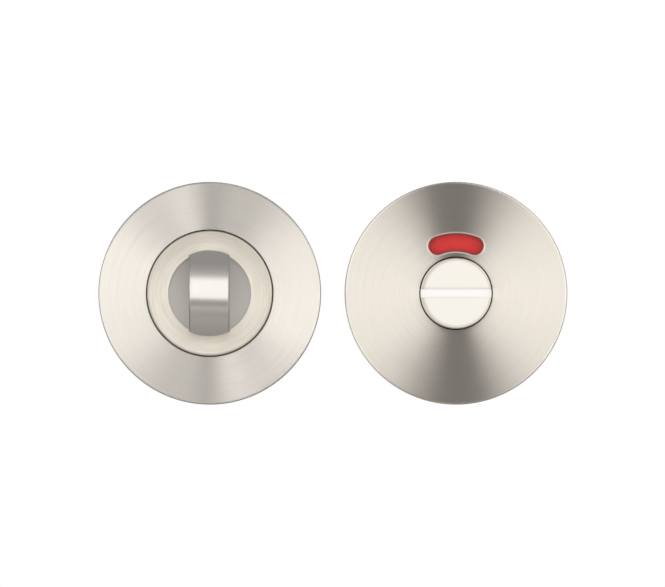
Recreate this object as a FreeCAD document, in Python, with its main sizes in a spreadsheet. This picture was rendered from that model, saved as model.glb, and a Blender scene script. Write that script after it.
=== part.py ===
"""Bathroom turn and indicator release set: two round roses, one for each side of the door.

Each piece is drawn face on, as it is seen from the front: x to the right, y up, z out of the door towards
the viewer, with z = 0 on the door's face. A quarter turn about x then stands it against the door, so that in
the finished model the door's face is y = 0, the fronts face -y and +z is up. The origin is where the axis of
the thumb turn meets the door's face. The release half stands beside it along +x, a gap from rim to rim.
"""
import FreeCAD, Part
import math
import os
import re
import Sketcher

# Driving dimensions, millimetres and degrees
SIZES = {
    "bolt_centres": (38, "distance between the two through bolts"),
    "bolt_to_rim": (7, "from a through bolt's axis out to the rim of its rose, so that a rose is 52 across"),
    "rose_height": (8, "door face to the front face of the rose"),
    "rose_gap": (5.5, "between the rims of the two roses as they stand side by side"),
    "cover_wall": (1.2, "sheet thickness of the pressed covers"),
    "cover_edge_radius": (0.6, "rounding of the cover's front edge"),
    "cover_clearance": (0.15, "gap between a cover and its base plate all round"),
    "nib_count": (3, "snap nibs inside a cover"),
    "nib_height": (0.35, "how far a nib stands in from the cover's wall"),
    "nib_thickness": (0.8, "a nib's size across the groove"),
    "nib_angle": (10, "arc that a nib covers"),
    "snap_groove_level": (1.8, "middle of the snap groove above the door face"),
    "snap_groove_width": (1.2, "width of the snap groove in the plate's edge"),
    "snap_groove_depth": (0.5, "depth of the snap groove"),
    "plate_thickness": (3.6, "floor of the base plate"),
    "plate_rim_width": (1.5, "rim of the base plate that the cover's face rests on"),
    "boss_diameter": (19, "rear boss round the spindle"),
    "boss_length": (4, "rear boss behind the door face"),
    "lug_diameter": (9, "rear lugs round the bolt holes"),
    "lug_length": (3, "rear lugs behind the door face"),
    "screw_centres": (36, "distance between the two wood screws"),
    "spigot_diameter": (12, "journal of the turn and of the release"),
    "running_clearance": (0.05, "radial play of a journal in its bush"),
    "fit_clearance": (0.03, "radial play of a piece that is pushed in"),
    "axial_play": (0.1, "end play of the turning pieces"),
    "bush_wall": (1.45, "wall of the flanged bush"),
    "bush_flange_diameter": (18, "flange of the bush"),
    "bush_flange_thickness": (0.5, "flange of the bush"),
    "washer_space": (1.0, "room for the wave washer between boss and ring"),
    "washer_diameter": (17, "outside diameter of the wave washer"),
    "washer_bore_clearance": (0.3, "radial gap of the wave washer round the journal"),
    "washer_thickness": (0.3, "strip thickness of the wave washer"),
    "washer_wave": (0.25, "height of the wave above and below its middle"),
    "washer_waves": (3, "number of waves round the washer"),
    "ring_groove_width": (1.0, "groove for the retaining ring"),
    "ring_groove_depth": (0.6, "groove for the retaining ring"),
    "ring_thickness": (0.9, "retaining ring"),
    "ring_width": (1.95, "radial width of the retaining ring"),
    "ring_opening_angle": (50, "arc left open in the retaining ring"),
    "ring_ear_diameter": (2.8, "ears of the retaining ring"),
    "ring_ear_hole": (1.0, "plier holes in the ears"),
    "spigot_land": (0.8, "journal behind the ring groove"),
    "knob_diameter": (29.2, "flange of the thumb turn"),
    "knob_gap": (0.3, "ring gap round the knob and round the coin disc"),
    "knob_stand": (1.2, "knob's outer edge in front of the rose"),
    "knob_edge_radius": (0.4, "rounding of the knob's outer edge"),
    "ring_dish": (0.9, "how far the knob's ring falls towards its recess"),
    "ring_dish_radius": (14, "radius of the hollow of the knob's ring"),
    "ring_land": (0.15, "flat between the grip's foot and the hollow ring"),
    "recess_diameter": (19.4, "round recess beside the grip"),
    "recess_wall": (1.1, "height of the recess wall"),
    "recess_sag": (1.0, "how far the recess floor falls to its middle"),
    "grip_width": (9.4, "thickness of the grip"),
    "grip_diameter": (20.1, "circle that the grip's ends lie on"),
    "grip_height": (9.2, "grip in front of the ring's inner edge"),
    "grip_crown_radius": (13, "radius of the grip's crowned front"),
    "grip_edge_radius": (0.4, "rounding of the grip's edges"),
    "square_side": (5, "square spindle"),
    "square_clearance": (0.05, "gap each side of the spindle in a socket"),
    "square_edge": (0.3, "bevel on the spindle's long edges"),
    "socket_front": (2.4, "front end of a square socket in front of the door face"),
    "spindle_length": (62, "overall length of the spindle"),
    "pin_diameter": (2, "cross pin through spigot and spindle"),
    "pin_shortfall": (0.2, "how far each pin end lies inside the journal"),
    "stop_radius": (11.7, "middle of the stop lug from the axis"),
    "stop_width": (2, "radial width of the stop lug"),
    "stop_angle": (12, "arc that the stop lug covers"),
    "stop_height": (1.3, "stop lug in front of the plate floor"),
    "stop_clearance": (0.25, "gap round the stop lug"),
    "stop_backlash": (1, "spare angle before a stop is met"),
    "turn_angle": (90, "turn to either side"),
    "coin_diameter": (16.6, "coin disc of the release"),
    "coin_stand": (1.0, "coin disc in front of the rose"),
    "coin_edge_radius": (0.3, "rounding of the coin disc's edge"),
    "coin_slot_width": (2, "coin slot"),
    "coin_slot_depth": (1.6, "coin slot"),
    "hub_diameter": (15, "hub behind the coin disc"),
    "hub_flats": (13.2, "distance across the hub's two flats"),
    "window_strip": (1.375, "metal left between the coin disc's hole and the window"),
    "window_width": (3.85, "radial width of the window"),
    "window_half_angle": (21.5, "from the window's middle to the centre of its round end"),
    "window_bevel": (0.55, "bevel round the window"),
    "lens_thickness": (0.4, "clear lens behind the window"),
    "lens_margin": (0.9, "how far the lens reaches past the window"),
    "label_gap": (0.1, "gap between labels and lens"),
    "label_thickness": (0.2, "coloured label"),
    "label_inner_gap": (0.8, "from the coin disc's edge out to a label"),
    "label_margin": (0.2, "carrier left bare outside the labels"),
    "label_angle": (88, "arc that a label covers"),
    "carrier_margin": (0.775, "how far the carrier reaches past the window"),
    "carrier_thickness": (1.0, "indicator carrier"),
    "carrier_collar_diameter": (17.8, "rear collar of the carrier"),
    "bolt_diameter": (4, "plain shank of a through bolt, and the thread's nominal size"),
    "bolt_thread_diameter": (3.9, "crests of the bolt's thread"),
    "bolt_shank_margin": (0.5, "plain shank behind the end of the rear lug"),
    "bolt_clearance": (0.15, "radial gap of a bolt in its hole"),
    "bolt_head_diameter": (7, "pan head"),
    "bolt_head_height": (2.4, "pan head"),
    "bolt_reach": (40, "bolt end behind the door face"),
    "bolt_point": (0.5, "bevel on the bolt's end"),
    "drive_length": (4, "cross recess in a screw head"),
    "drive_width": (0.9, "cross recess in a screw head"),
    "drive_depth": (1.2, "cross recess in a screw head"),
    "sleeve_diameter": (6, "female post for a through bolt"),
    "sleeve_head_diameter": (8, "head of the female post"),
    "sleeve_head_height": (1.2, "head of the female post"),
    "sleeve_reach": (26, "post end behind the door face"),
    "sleeve_bore_depth": (22, "threaded bore of the post"),
    "screw_diameter": (3.5, "wood screw"),
    "screw_head_diameter": (6.8, "countersunk head of the wood screw"),
    "screw_clearance": (0.2, "radial gap of a wood screw in its hole"),
    "screw_reach": (22, "wood screw tip behind the door face"),
    "screw_point": (5, "tapered tip of the wood screw"),
}

# Radii and levels that follow from the driving dimensions
ROSE_RADIUS = "(bolt_centres / 2 + bolt_to_rim)"
RELEASE_AXIS = f"(2 * {ROSE_RADIUS} + rose_gap)"
COVER_INSIDE = f"({ROSE_RADIUS} - cover_wall)"
COVER_CEILING = "(rose_height - cover_wall)"
PLATE_RADIUS = f"({COVER_INSIDE} - cover_clearance)"
SPIGOT_RADIUS = "(spigot_diameter / 2)"
BUSH_BORE = f"({SPIGOT_RADIUS} + running_clearance)"
BUSH_RADIUS = f"({BUSH_BORE} + bush_wall)"
PLATE_BORE = f"({BUSH_RADIUS} + fit_clearance)"
BUSH_FRONT = "(plate_thickness + bush_flange_thickness)"
SHOULDER = f"({BUSH_FRONT} + axial_play)"
RING_FRONT = "(-(boss_length + washer_space))"
RING_REAR = f"({RING_FRONT} - ring_groove_width)"
SPIGOT_REAR = f"({RING_REAR} - spigot_land)"
RING_SEAT = f"({SPIGOT_RADIUS} - ring_groove_depth)"
STOP_FRONT = "(plate_thickness + stop_height)"
STOP_INNER = "(stop_radius - stop_width / 2)"
STOP_OUTER = "(stop_radius + stop_width / 2)"
TRACK_INNER = f"({STOP_INNER} - stop_clearance)"
TRACK_OUTER = f"({STOP_OUTER} + stop_clearance)"
FREE_HALF_ANGLE = "(turn_angle + stop_angle / 2 + stop_backlash)"
KNOB_RADIUS = "(knob_diameter / 2)"
KNOB_FRONT = "(rose_height + knob_stand)"
GRIP_RADIUS = "(grip_diameter / 2)"
RING_INNER_LEVEL = f"({KNOB_FRONT} - ring_dish)"
GRIP_TOP = f"({RING_INNER_LEVEL} + grip_height)"
GRIP_SHOULDER = f"({GRIP_TOP} - grip_crown_radius + sqrt(grip_crown_radius ^ 2 - {GRIP_RADIUS} ^ 2))"
RECESS_RADIUS = "(recess_diameter / 2)"
RECESS_EDGE = f"({RING_INNER_LEVEL} - recess_wall)"
RECESS_FLOOR = f"({RECESS_EDGE} - recess_sag)"
RECESS_BOWL = f"(({RECESS_RADIUS}) ^ 2 + recess_sag ^ 2) / (2 * recess_sag)"
COIN_RADIUS = "(coin_diameter / 2)"
COIN_FRONT = "(rose_height + coin_stand)"
WINDOW_RADIUS = f"({COIN_RADIUS} + knob_gap + window_strip + window_width / 2)"
CARRIER_RADIUS = f"({WINDOW_RADIUS} + window_width / 2 + carrier_margin)"
LABEL_INNER = f"({COIN_RADIUS} + label_inner_gap)"
LENS_REAR = f"({COVER_CEILING} - lens_thickness)"
LABEL_FRONT = f"({LENS_REAR} - label_gap)"
CARRIER_FRONT = f"({LABEL_FRONT} - label_thickness)"
CARRIER_REAR = f"({CARRIER_FRONT} - carrier_thickness)"
SOCKET_SIDE = "(square_side + 2 * square_clearance)"
SPINDLE_FRONT = "(socket_front - axial_play)"

AGAINST_DOOR = FreeCAD.Rotation(FreeCAD.Vector(1, 0, 0), 90)
TOLERANCE = 1e-4
POINTS_PER_WAVE = 8

doc = FreeCAD.newDocument("turn_and_release")
sheet = doc.addObject("Spreadsheet::Sheet", "Sizes")
for row, (name, (amount, note)) in enumerate(SIZES.items(), start=1):
    sheet.set(f"A{row}", note)
    sheet.set(f"B{row}", str(amount))
    sheet.setAlias(f"B{row}", name)
doc.recompute()


def bound(formula):
    """The formula with each size name pointed at its cell."""
    return re.sub(r"[a-z_]+", lambda word: f"Sizes.{word[0]}" if word[0] in SIZES else word[0], formula)


def value(formula):
    """What a formula comes to with the sizes on the sheet."""
    result = sheet.evalExpression(bound(formula))
    return float(getattr(result, "Value", result))


def tie(thing, field, formula):
    """Bind one field of an object to a formula of sizes."""
    thing.setExpression(field, bound(formula))


def new_body(label, across="0"):
    """An empty body that stands against the door, its axis a given distance to the right."""
    body = doc.addObject("PartDesign::Body", label)
    body.Label = label
    body.AllowCompound = True
    body.Placement = FreeCAD.Placement(FreeCAD.Vector(0, 0, 0), AGAINST_DOOR)
    tie(body, "Placement.Base.x", across)
    return body


def origin_part(body, role):
    """One plane or axis of a body's own origin."""
    return next(part for part in body.Origin.OriginFeatures if part.Role == role)


def new_sketch(body, name, plane, across="0", out="0"):
    """A sketch on an origin plane, moved sideways and along the plane's normal."""
    sketch = body.newObject("Sketcher::SketchObject", name)
    sketch.AttachmentSupport = (origin_part(body, plane), [""])
    sketch.MapMode = "FlatFace"
    tie(sketch, "AttachmentOffset.Base.x", across)
    tie(sketch, "AttachmentOffset.Base.z", out)
    return sketch


def hold(sketch, kind, index, point, formula):
    """Dimension one point from the sketch's origin along x or y."""
    if formula == "0":
        axis = -2 if kind == "DistanceX" else -1
        sketch.addConstraint(Sketcher.Constraint("PointOnObject", index, point, axis))
        return
    number = sketch.addConstraint(Sketcher.Constraint(kind, -1, 1, index, point, value(formula)))
    tie(sketch, f"Constraints[{number}]", formula)


def draw_outline(sketch, corners):
    """Draw a closed outline and dimension it.

    A corner is (x, y), or (x, y, radius, side) where an arc leaves it. The arc's centre lies to the left of
    the way from this corner to the next for side 1, and to the right for side -1.
    """
    places = [FreeCAD.Vector(value(corner[0]), value(corner[1]), 0) for corner in corners]
    starts, ends = [], []
    first = sketch.GeometryCount
    for number, corner in enumerate(corners):
        here, there = places[number], places[(number + 1) % len(places)]
        if len(corner) == 2:
            sketch.addGeometry(Part.LineSegment(here, there), False)
            starts.append(1)
            ends.append(2)
            continue
        radius, side = value(corner[2]), corner[3]
        chord = there - here
        inward = FreeCAD.Vector(-chord.y, chord.x, 0).normalize() * side
        centre = (here + there) * 0.5 + inward * math.sqrt(max(radius ** 2 - chord.Length ** 2 / 4, 0))
        turns = [math.atan2(place.y - centre.y, place.x - centre.x) for place in (here, there)]
        low, high = turns if side > 0 else turns[::-1]
        circle = Part.Circle(centre, FreeCAD.Vector(0, 0, 1), radius)
        sketch.addGeometry(Part.ArcOfCircle(circle, low, high + (math.tau if high < low else 0)), False)
        starts.append(1 if side > 0 else 2)
        ends.append(2 if side > 0 else 1)
    for number in range(len(corners)):
        after = (number + 1) % len(corners)
        sketch.addConstraint(
            Sketcher.Constraint("Coincident", first + number, ends[number], first + after, starts[after]))
    for number, corner in enumerate(corners):
        for kind, level, formula in (("DistanceX", 0, corner[0]), ("DistanceY", 1, corner[1])):
            line_before = number > 0 and len(corners[number - 1]) == 2
            if line_before and corners[number - 1][level] == formula:
                straight = "Vertical" if kind == "DistanceX" else "Horizontal"
                sketch.addConstraint(Sketcher.Constraint(straight, first + number - 1))
            else:
                hold(sketch, kind, first + number, starts[number], formula)
        if len(corner) == 4:
            radius = sketch.addConstraint(Sketcher.Constraint("Radius", first + number, value(corner[2])))
            tie(sketch, f"Constraints[{radius}]", corner[2])


def draw_circle(sketch, radius, across="0", up="0"):
    """Draw a dimensioned circle."""
    centre = FreeCAD.Vector(value(across), value(up), 0)
    index = sketch.addGeometry(Part.Circle(centre, FreeCAD.Vector(0, 0, 1), value(radius)), False)
    hold(sketch, "DistanceX", index, 3, across)
    hold(sketch, "DistanceY", index, 3, up)
    number = sketch.addConstraint(Sketcher.Constraint("Radius", index, value(radius)))
    tie(sketch, f"Constraints[{number}]", radius)


def revolve(body, sketch, name, angle="360", kind="Revolution"):
    """Turn a profile about its sketch's upright axis, part of the way to both sides alike."""
    feature = body.newObject(f"PartDesign::{kind}", name)
    feature.Profile = sketch
    feature.ReferenceAxis = (sketch, ["V_Axis"])
    tie(feature, "Angle", angle)
    feature.Midplane = angle != "360"
    doc.recompute()
    return feature


def extrude(body, sketch, name, length, kind="Pad", backwards=False, both_ways=False):
    """Pad or pocket a sketch. A pad goes out and a pocket goes in, unless backwards."""
    feature = body.newObject(f"PartDesign::{kind}", name)
    feature.Profile = sketch
    tie(feature, "Length", length)
    feature.Reversed = backwards
    if both_ways:
        feature.SideType = "Symmetric"
    doc.recompute()
    return feature


def repeat_round(body, features, name, count="2"):
    """Repeat features evenly round the body's own upright axis."""
    pattern = body.newObject("PartDesign::PolarPattern", name)
    pattern.Originals = features
    pattern.Axis = (origin_part(body, "Z_Axis"), [""])
    pattern.Angle = 360
    tie(pattern, "Occurrences", count)
    body.Tip = pattern
    doc.recompute()
    return pattern


def drill(body, sketch, name, diameter, head=None, head_diameter=None, head_depth=None):
    """Through holes at the circles of a sketch, with a counterbore or a countersink if one is named."""
    hole = body.newObject("PartDesign::Hole", name)
    hole.Profile = sketch
    hole.DepthType = "ThroughAll"
    tie(hole, "Diameter", diameter)
    if head:
        hole.HoleCutType = head
        hole.HoleCutCustomValues = True
        tie(hole, "HoleCutDiameter", head_diameter)
        if head == "Counterbore":
            tie(hole, "HoleCutDepth", head_depth)
        else:
            hole.HoleCutCountersinkAngle = 90
    doc.recompute()
    return hole


def edges_where(feature, test):
    """The names of the edges of a feature that pass a test."""
    return [f"Edge{number}" for number, edge in enumerate(feature.Shape.Edges, start=1) if test(edge)]


def at_level(edge, level):
    """True for an edge that lies wholly at one level."""
    flat = edge.BoundBox.ZLength < TOLERANCE
    return flat and all(abs(vertex.Z - value(level)) < TOLERANCE for vertex in edge.Vertexes)


def is_circle(edge, radius):
    """True for an arc or circle of one radius."""
    return isinstance(edge.Curve, Part.Circle) and abs(edge.Curve.Radius - value(radius)) < TOLERANCE


def soften(body, base, name, test, size, kind="Fillet"):
    """Round or bevel the edges of a feature that pass a test."""
    feature = body.newObject(f"PartDesign::{kind}", name)
    feature.Base = (base, edges_where(base, test))
    tie(feature, "Radius" if kind == "Fillet" else "Size", size)
    doc.recompute()
    return feature


def rose_cover(label, hole_radius, across="0"):
    """A pressed cap: flat face with a round hole, rounded edge, snap nibs inside its wall."""
    body = new_body(label, across)
    section = new_sketch(body, f"{label}_section", "XZ_Plane")
    draw_outline(section, [
        (COVER_INSIDE, "0"),
        (ROSE_RADIUS, "0"),
        (ROSE_RADIUS, "rose_height"),
        (hole_radius, "rose_height"),
        (hole_radius, COVER_CEILING),
        (COVER_INSIDE, COVER_CEILING),
    ])
    cap = revolve(body, section, f"{label}_cap")
    rounded = soften(body, cap, f"{label}_edge", lambda edge: is_circle(edge, ROSE_RADIUS) and
                     at_level(edge, "rose_height"), "cover_edge_radius")
    nib_low = "(snap_groove_level - nib_thickness / 2)"
    nib_high = "(snap_groove_level + nib_thickness / 2)"
    nib_root = f"({COVER_INSIDE} + cover_wall / 2)"
    nib_tip = f"({COVER_INSIDE} - nib_height)"
    nib_section = new_sketch(body, f"{label}_nib_section", "XZ_Plane")
    draw_outline(nib_section, [
        (nib_root, nib_low),
        (nib_root, nib_high),
        (nib_tip, nib_high),
        (nib_tip, nib_low),
    ])
    nib = revolve(body, nib_section, f"{label}_nib", "nib_angle")
    repeat_round(body, [nib], f"{label}_nibs", "nib_count")
    return body


def window_ends(sketch, radius):
    """The two round ends of the window, at the ends of its middle line."""
    for side in ("", "-"):
        draw_circle(sketch, radius, f"{side}{WINDOW_RADIUS} * sin(window_half_angle)",
                    f"{WINDOW_RADIUS} * cos(window_half_angle)")


def release_cover(label, across):
    """The cap of the release half, with a bevelled kidney-shaped window above the coin hole."""
    body = rose_cover(label, f"({COIN_RADIUS} + knob_gap)", across)
    half = "window_width / 2"
    low, high = f"({COVER_CEILING} - cover_wall / 2)", "(rose_height + cover_wall / 2)"
    arc_section = new_sketch(body, f"{label}_window_section", "YZ_Plane")
    draw_outline(arc_section, [
        (f"({WINDOW_RADIUS} - {half})", low),
        (f"({WINDOW_RADIUS} + {half})", low),
        (f"({WINDOW_RADIUS} + {half})", high),
        (f"({WINDOW_RADIUS} - {half})", high),
    ])
    revolve(body, arc_section, f"{label}_window_arc", "2 * window_half_angle", "Groove")
    ends = new_sketch(body, f"{label}_window_end_circles", "XY_Plane", out=high)
    window_ends(ends, half)
    opened = extrude(body, ends, f"{label}_window_ends", "2 * cover_wall", "Pocket")
    soften(body, opened, f"{label}_window_bevel", lambda edge: at_level(edge, "rose_height") and
           not is_circle(edge, f"{COIN_RADIUS} + knob_gap") and
           not is_circle(edge, f"{ROSE_RADIUS} - cover_edge_radius"), "window_bevel", "Chamfer")
    return body


def base_plate(label, across="0"):
    """The cast plate under a cover: rim, snap groove, bore and rear boss, rear lugs and the stop lug."""
    body = new_body(label, across)
    groove_low = "(snap_groove_level - snap_groove_width / 2)"
    groove_high = "(snap_groove_level + snap_groove_width / 2)"
    groove_floor = f"({PLATE_RADIUS} - snap_groove_depth)"
    rim_inside = f"({PLATE_RADIUS} - plate_rim_width)"
    section = new_sketch(body, f"{label}_section", "XZ_Plane")
    draw_outline(section, [
        (PLATE_BORE, "-boss_length"),
        ("boss_diameter / 2", "-boss_length"),
        ("boss_diameter / 2", "0"),
        (PLATE_RADIUS, "0"),
        (PLATE_RADIUS, groove_low),
        (groove_floor, groove_low),
        (groove_floor, groove_high),
        (PLATE_RADIUS, groove_high),
        (PLATE_RADIUS, COVER_CEILING),
        (rim_inside, COVER_CEILING),
        (rim_inside, "plate_thickness"),
        (PLATE_BORE, "plate_thickness"),
    ])
    revolve(body, section, f"{label}_casting")
    lug_circles = new_sketch(body, f"{label}_lug_circles", "XY_Plane", out="plate_thickness / 2")
    for side in ("", "-"):
        draw_circle(lug_circles, "lug_diameter / 2", f"{side}bolt_centres / 2")
    extrude(body, lug_circles, f"{label}_lugs", "lug_length + plate_thickness / 2", backwards=True)
    stop_section = new_sketch(body, f"{label}_stop_section", "YZ_Plane")
    draw_outline(stop_section, [
        (STOP_INNER, "plate_thickness / 2"),
        (STOP_OUTER, "plate_thickness / 2"),
        (STOP_OUTER, STOP_FRONT),
        (STOP_INNER, STOP_FRONT),
    ])
    revolve(body, stop_section, f"{label}_stop", "stop_angle")
    screw_centres = new_sketch(body, f"{label}_screw_centres", "XY_Plane", out="plate_thickness")
    for side in ("", "-"):
        draw_circle(screw_centres, "screw_diameter / 2", up=f"{side}screw_centres / 2")
    drill(body, screw_centres, f"{label}_screw_holes", "screw_diameter + 2 * screw_clearance",
          "Countersink", "screw_head_diameter + 2 * screw_clearance")
    bolt_centres = new_sketch(body, f"{label}_bolt_centres", "XY_Plane", out="plate_thickness")
    for side in ("", "-"):
        draw_circle(bolt_centres, "bolt_diameter / 2", f"{side}bolt_centres / 2")
    return body, bolt_centres


def turn_plate():
    """The inside plate, with plain holes for the through bolts."""
    body, centres = base_plate("turn_base_plate")
    drill(body, centres, "turn_bolt_holes", "bolt_diameter + 2 * bolt_clearance")


def release_plate():
    """The outside plate, counterbored for the heads of the female posts."""
    body, centres = base_plate("release_base_plate", RELEASE_AXIS)
    drill(body, centres, "release_sleeve_holes", "sleeve_diameter + 2 * fit_clearance", "Counterbore",
          "sleeve_head_diameter + 2 * fit_clearance", "sleeve_head_height")


def bush(label, across="0"):
    """A flanged bush that lines the plate's bore."""
    body = new_body(label, across)
    section = new_sketch(body, f"{label}_section", "XZ_Plane")
    draw_outline(section, [
        (BUSH_BORE, "-boss_length"),
        (BUSH_RADIUS, "-boss_length"),
        (BUSH_RADIUS, "plate_thickness"),
        ("bush_flange_diameter / 2", "plate_thickness"),
        ("bush_flange_diameter / 2", BUSH_FRONT),
        (BUSH_BORE, BUSH_FRONT),
    ])
    revolve(body, section, f"{label}_turned")


def wave_washer(label, across="0"):
    """A spring washer of thin strip whose face rises and falls round the journal."""
    radii = (value(f"{SPIGOT_RADIUS} + washer_bore_clearance"), value("washer_diameter / 2"))
    half, wave, waves = value("washer_thickness / 2"), value("washer_wave"), value("washer_waves")
    middle = value(f"({RING_FRONT} - boss_length) / 2")
    steps = int(POINTS_PER_WAVE * waves)

    def rim(radius, lift):
        """One closed wavy edge."""
        points = []
        for step in range(steps):
            angle = math.tau * step / steps
            points.append(FreeCAD.Vector(radius * math.cos(angle), radius * math.sin(angle),
                                         middle + lift + wave * math.cos(waves * angle)))
        curve = Part.BSplineCurve()
        curve.interpolate(points, PeriodicFlag=True)
        return curve.toShape()

    edges = {(radius, lift): rim(radius, lift) for radius in radii for lift in (-half, half)}
    inner, outer = radii
    pairs = [((inner, -half), (outer, -half)), ((outer, -half), (outer, half)),
             ((outer, half), (inner, half)), ((inner, half), (inner, -half))]
    faces = [Part.makeRuledSurface(edges[one], edges[other]) for one, other in pairs]
    solid = Part.makeSolid(Part.makeShell(faces))
    if solid.Volume < 0:
        solid.reverse()
    washer = doc.addObject("Part::Feature", label)
    washer.Label = label
    washer.Shape = solid
    washer.Placement = FreeCAD.Placement(FreeCAD.Vector(0, 0, 0), AGAINST_DOOR)
    tie(washer, "Placement.Base.x", across)


def retaining_ring(label, across="0"):
    """An external ring with two pierced ears, open at the bottom."""
    body = new_body(label, across)
    inner = f"({RING_SEAT} + fit_clearance)"
    outer = f"({inner} + ring_width)"
    rear = f"({RING_REAR} + (ring_groove_width - ring_thickness) / 2)"
    front = f"({rear} + ring_thickness)"
    section = new_sketch(body, f"{label}_section", "YZ_Plane")
    draw_outline(section, [(inner, rear), (outer, rear), (outer, front), (inner, front)])
    revolve(body, section, f"{label}_bow", "360 - ring_opening_angle")
    ear_circles = new_sketch(body, f"{label}_ear_circles", "XY_Plane", out=rear)
    hole_circles = new_sketch(body, f"{label}_ear_holes", "XY_Plane", out=front)
    ear_turn = f"(ring_opening_angle / 2 * 1 deg + asin(ring_ear_diameter / 2 / {outer}))"
    for side in ("", "-"):
        place = (f"{side}{outer} * sin({ear_turn})", f"-{outer} * cos({ear_turn})")
        draw_circle(ear_circles, "ring_ear_diameter / 2", *place)
        draw_circle(hole_circles, "ring_ear_hole / 2", *place)
    extrude(body, ear_circles, f"{label}_ears", "ring_thickness")
    extrude(body, hole_circles, f"{label}_plier_holes", "ring_thickness", "Pocket")


def journal_details(body, label):
    """The ring groove round a journal and the square socket in its rear end."""
    groove_section = new_sketch(body, f"{label}_groove_section", "XZ_Plane")
    beyond = f"({SPIGOT_RADIUS} + ring_groove_depth)"
    draw_outline(groove_section, [
        (RING_SEAT, RING_REAR),
        (beyond, RING_REAR),
        (beyond, RING_FRONT),
        (RING_SEAT, RING_FRONT),
    ])
    revolve(body, groove_section, f"{label}_ring_groove", kind="Groove")
    square = new_sketch(body, f"{label}_square", "XY_Plane", out=SPIGOT_REAR)
    half = f"({SOCKET_SIDE} / 2)"
    draw_outline(square, [(f"-{half}", f"-{half}"), (half, f"-{half}"), (half, half), (f"-{half}", half)])
    extrude(body, square, f"{label}_socket", f"socket_front - {SPIGOT_REAR}", "Pocket", backwards=True)


def pin_hole(body, label, clearance):
    """A cross hole for the spindle pin, at the door's face."""
    circle = new_sketch(body, f"{label}_pin_circle", "YZ_Plane")
    draw_circle(circle, f"pin_diameter / 2 + {clearance}")
    extrude(body, circle, f"{label}_pin_hole", "spigot_diameter + pin_diameter", "Pocket", both_ways=True)


def thumb_turn():
    """The knob: a crowned grip across a round recess in a hollow ring, with a journal behind."""
    label = "thumb_turn"
    body = new_body(label)
    grip_foot = f"(({SHOULDER} + {RECESS_FLOOR}) / 2)"
    grip_side = new_sketch(body, f"{label}_grip_side", "YZ_Plane")
    draw_outline(grip_side, [
        (GRIP_RADIUS, GRIP_SHOULDER, "grip_crown_radius", 1),
        (f"-{GRIP_RADIUS}", GRIP_SHOULDER),
        (f"-{GRIP_RADIUS}", grip_foot),
        (GRIP_RADIUS, grip_foot),
    ])
    extrude(body, grip_side, f"{label}_grip", "grip_width", both_ways=True)
    end_section = new_sketch(body, f"{label}_grip_end_section", "XZ_Plane")
    end_reach = f"({GRIP_RADIUS} + grip_width)"
    end_low, end_high = f"({grip_foot} - grip_edge_radius)", f"({GRIP_TOP} + grip_edge_radius)"
    draw_outline(end_section, [
        (GRIP_RADIUS, end_low),
        (end_reach, end_low),
        (end_reach, end_high),
        (GRIP_RADIUS, end_high),
    ])
    revolve(body, end_section, f"{label}_grip_ends", kind="Groove")
    section = new_sketch(body, f"{label}_section", "XZ_Plane")
    draw_outline(section, [
        ("0", SPIGOT_REAR),
        (SPIGOT_RADIUS, SPIGOT_REAR),
        (SPIGOT_RADIUS, SHOULDER),
        (KNOB_RADIUS, SHOULDER),
        (KNOB_RADIUS, KNOB_FRONT, "ring_dish_radius", -1),
        (f"({GRIP_RADIUS} + ring_land)", RING_INNER_LEVEL),
        (RECESS_RADIUS, RING_INNER_LEVEL),
        (RECESS_RADIUS, RECESS_EDGE, RECESS_BOWL, -1),
        ("0", RECESS_FLOOR),
    ])
    knob = revolve(body, section, f"{label}_knob")
    rounded = soften(body, knob, f"{label}_outer_edge", lambda edge: is_circle(edge, KNOB_RADIUS) and
                     at_level(edge, KNOB_FRONT), "knob_edge_radius")
    soften(body, rounded, f"{label}_grip_edges", lambda edge: all(
        abs(math.hypot(vertex.X, vertex.Y) - value(GRIP_RADIUS)) < TOLERANCE and
        vertex.Z > value(GRIP_SHOULDER) - TOLERANCE for vertex in edge.Vertexes), "grip_edge_radius")
    track_section = new_sketch(body, f"{label}_stop_track_section", "YZ_Plane")
    track_rear, track_floor = f"({SHOULDER} - axial_play)", f"({STOP_FRONT} + stop_clearance)"
    draw_outline(track_section, [
        (TRACK_INNER, track_rear),
        (TRACK_OUTER, track_rear),
        (TRACK_OUTER, track_floor),
        (TRACK_INNER, track_floor),
    ])
    revolve(body, track_section, f"{label}_stop_track", f"2 * {FREE_HALF_ANGLE}", "Groove")
    journal_details(body, label)
    pin_hole(body, label, "fit_clearance")


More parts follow.
